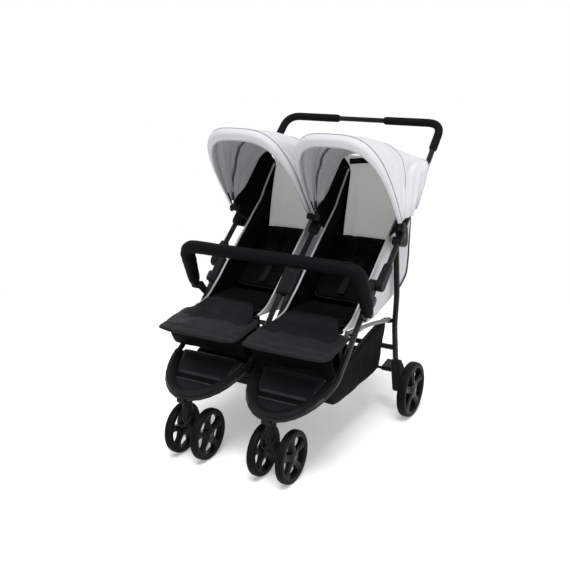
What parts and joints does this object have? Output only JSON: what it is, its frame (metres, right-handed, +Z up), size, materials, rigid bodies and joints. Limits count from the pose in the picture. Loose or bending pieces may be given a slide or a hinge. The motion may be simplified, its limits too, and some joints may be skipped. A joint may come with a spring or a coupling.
{
  "type": "double stroller",
  "caption": "Side-by-side twin stroller on a folding tube frame, with hooded reclining seats, padded leg rests, a bumper bar, swivel castors and a basket.",
  "frame": {"origin": "bottom centre of the bounding box, on the floor", "axes": "+Z up, -Y towards the front castors, +X to the child's left"},
  "size_m": [0.72, 0.9962, 1.0313],
  "materials": {
    "frame": "satin paint",
    "link": "satin grey paint",
    "plastic": "moulded, fine grain",
    "button": "moulded, fine grain",
    "wheel": "moulded with a foam tread",
    "foam": "closed-cell foam",
    "shell": "plain weave",
    "canopy": "plain weave",
    "black": "plain weave",
    "charcoal": "coated weave",
    "hoop": "extruded"
  },
  "bodies": {
    "front_frame": {"front_tube_left": "frame", "front_tube_right": "frame", "footrest_left": "plastic", "footrest_right": "plastic", "castor_socket_left": "plastic", "castor_socket_right": "plastic", "knuckle_lower_left": "plastic", "knuckle_lower_right": "plastic", "bumper_socket_left": "plastic", "bumper_socket_right": "plastic", "seat_pad_left": "black", "seat_pad_right": "black", "seat_shell_left": "shell", "seat_shell_right": "shell", "knuckle_lower_middle": "plastic", "seat_cross_tube": "frame", "basket": "black"},
    "upper_frame": {"handle_tube": "frame", "grip_left": "foam", "grip_right": "foam", "hub_left": "plastic", "hub_right": "plastic", "hub_middle": "plastic", "middle_upper_tube": "frame", "knuckle_upper_left": "plastic", "knuckle_upper_right": "plastic", "canopy_left": "canopy", "canopy_right": "canopy"},
    "rear_frame": {"rear_leg_left": "frame", "rear_leg_right": "frame", "rear_cross_tube": "frame", "wheel_mount_left": "plastic", "wheel_mount_right": "plastic"},
    "brake": {"brake_bar": "plastic"},
    "bumper": {"bumper_bar": "charcoal"},
    "link_left": {"side_link_left": "link"},
    "latch_left": {"fold_latch_left": "button"},
    "castor_left": {"castor_fork_left": "plastic"},
    "lock_left": {"swivel_lock_left": "button"},
    "front_wheel_left_outer": {"front_wheel_left_outer": "wheel"},
    "front_wheel_left_inner": {"front_wheel_left_inner": "wheel"},
    "rear_wheel_left": {"rear_wheel_left": "wheel"},
    "back_left": {"backrest_left": "black", "harness_left": "black"},
    "leg_rest_left": {"leg_rest_left": "charcoal"},
    "canopy_front_left": {"canopy_front_hoop_left": "hoop"},
    "canopy_middle_left": {"canopy_middle_hoop_left": "hoop"},
    "link_right": {"side_link_right": "link"},
    "latch_right": {"fold_latch_right": "button"},
    "castor_right": {"castor_fork_right": "plastic"},
    "lock_right": {"swivel_lock_right": "button"},
    "front_wheel_right_outer": {"front_wheel_right_outer": "wheel"},
    "front_wheel_right_inner": {"front_wheel_right_inner": "wheel"},
    "rear_wheel_right": {"rear_wheel_right": "wheel"},
    "back_right": {"backrest_right": "black", "harness_right": "black"},
    "leg_rest_right": {"leg_rest_right": "charcoal"},
    "canopy_front_right": {"canopy_front_hoop_right": "hoop"},
    "canopy_middle_right": {"canopy_middle_hoop_right": "hoop"}
  },
  "joints": [
    {"name": "fold", "type": "hinge", "parent": "front_frame", "child": "upper_frame", "pos_m": [0, -0.0358, 0.548], "axis": [-1, 0, 0], "range_deg": [0, 138], "deforming": ["seat_shell_left", "seat_shell_right", "seat_pad_left", "seat_pad_right", "basket", "backrest_left", "backrest_right", "harness_left", "harness_right"]},
    {"name": "rear_fold", "type": "hinge", "parent": "upper_frame", "child": "rear_frame", "pos_m": [0, 0.1442, 0.655], "axis": [1, 0, 0], "range_deg": [0, 106]},
    {"name": "bumper_swing", "type": "hinge", "parent": "front_frame", "child": "bumper", "pos_m": [0, -0.1458, 0.487], "axis": [-1, 0, 0], "range_deg": [-68, 0]},
    {"name": "brake_press", "type": "hinge", "parent": "rear_frame", "child": "brake", "pos_m": [0, 0.2262, 0.15476], "axis": [1, 0, 0], "range_deg": [-20, 0]},
    {"name": "link_left", "type": "hinge", "parent": "front_frame", "child": "link_left", "pos_m": [-0.271, -0.1708, 0.417], "axis": [-1, 0, 0], "range_deg": [0, 90.5]},
    {"name": "latch_slide_left", "type": "slide", "parent": "front_frame", "child": "latch_left", "axis": [0, 0.7172, 0.6969], "range_m": [-0.012, 0]},
    {"name": "castor_swivel_left", "type": "hinge", "parent": "front_frame", "child": "castor_left", "pos_m": [-0.155, -0.4508, 0.1], "axis": [0, 0, 1], "continuous": true},
    {"name": "swivel_lock_left", "type": "hinge", "parent": "castor_left", "child": "lock_left", "pos_m": [-0.155, -0.4578, 0.16], "axis": [1, 0, 0], "range_deg": [-25, 0]},
    {"name": "roll_front_left_outer", "type": "hinge", "parent": "castor_left", "child": "front_wheel_left_outer", "pos_m": [-0.205, -0.4128, 0.08494], "axis": [1, 0, 0], "continuous": true},
    {"name": "roll_front_left_inner", "type": "hinge", "parent": "castor_left", "child": "front_wheel_left_inner", "pos_m": [-0.105, -0.4128, 0.08494], "axis": [1, 0, 0], "continuous": true},
    {"name": "roll_rear_left", "type": "hinge", "parent": "rear_frame", "child": "rear_wheel_left", "pos_m": [-0.344, 0.2142, 0.09976], "axis": [1, 0, 0], "continuous": true},
    {"name": "recline_left", "type": "hinge", "parent": "front_frame", "child": "back_left", "pos_m": [-0.155, -0.0018, 0.456], "axis": [-1, 0, 0], "range_deg": [-32, 0]},
    {"name": "leg_rest_drop_left", "type": "hinge", "parent": "front_frame", "child": "leg_rest_left", "pos_m": [-0.16, -0.2508, 0.404], "axis": [-1, 0, 0], "range_deg": [-38, 0]},
    {"name": "canopy_front_left", "type": "hinge", "parent": "upper_frame", "child": "canopy_front_left", "pos_m": [-0.1695, 0.1012, 0.716], "axis": [1, 0, 0], "range_deg": [-38, 0], "deforming": ["canopy_left"]},
    {"name": "canopy_middle_left", "type": "hinge", "parent": "upper_frame", "child": "canopy_middle_left", "pos_m": [-0.1695, 0.1012, 0.716], "axis": [1, 0, 0], "range_deg": [-19, 0]},
    {"name": "link_right", "type": "hinge", "parent": "front_frame", "child": "link_right", "pos_m": [0.271, -0.1708, 0.417], "axis": [-1, 0, 0], "range_deg": [0, 90.5]},
    {"name": "latch_slide_right", "type": "slide", "parent": "front_frame", "child": "latch_right", "axis": [0, 0.7172, 0.6969], "range_m": [-0.012, 0]},
    {"name": "castor_swivel_right", "type": "hinge", "parent": "front_frame", "child": "castor_right", "pos_m": [0.155, -0.4508, 0.1], "axis": [0, 0, 1], "continuous": true},
    {"name": "swivel_lock_right", "type": "hinge", "parent": "castor_right", "child": "lock_right", "pos_m": [0.155, -0.4578, 0.16], "axis": [1, 0, 0], "range_deg": [-25, 0]},
    {"name": "roll_front_right_outer", "type": "hinge", "parent": "castor_right", "child": "front_wheel_right_outer", "pos_m": [0.205, -0.4128, 0.08494], "axis": [1, 0, 0], "continuous": true},
    {"name": "roll_front_right_inner", "type": "hinge", "parent": "castor_right", "child": "front_wheel_right_inner", "pos_m": [0.105, -0.4128, 0.08494], "axis": [1, 0, 0], "continuous": true},
    {"name": "roll_rear_right", "type": "hinge", "parent": "rear_frame", "child": "rear_wheel_right", "pos_m": [0.344, 0.2142, 0.09976], "axis": [1, 0, 0], "continuous": true},
    {"name": "recline_right", "type": "hinge", "parent": "front_frame", "child": "back_right", "pos_m": [0.155, -0.0018, 0.456], "axis": [-1, 0, 0], "range_deg": [-32, 0]},
    {"name": "leg_rest_drop_right", "type": "hinge", "parent": "front_frame", "child": "leg_rest_right", "pos_m": [0.16, -0.2508, 0.404], "axis": [-1, 0, 0], "range_deg": [-38, 0]},
    {"name": "canopy_front_right", "type": "hinge", "parent": "upper_frame", "child": "canopy_front_right", "pos_m": [0.1695, 0.1012, 0.716], "axis": [1, 0, 0], "range_deg": [-38, 0], "deforming": ["canopy_right"]},
    {"name": "canopy_middle_right", "type": "hinge", "parent": "upper_frame", "child": "canopy_middle_right", "pos_m": [0.1695, 0.1012, 0.716], "axis": [1, 0, 0], "range_deg": [-19, 0]}
  ],
  "couplings": [
    {"joint": "rear_fold", "follows": "fold", "ratio": 0.766},
    {"joint": "link_left", "follows": "fold", "ratio": 0.654},
    {"joint": "canopy_middle_left", "follows": "canopy_front_left", "ratio": 0.5},
    {"joint": "link_right", "follows": "fold", "ratio": 0.654},
    {"joint": "canopy_middle_right", "follows": "canopy_front_right", "ratio": 0.5}
  ]
}
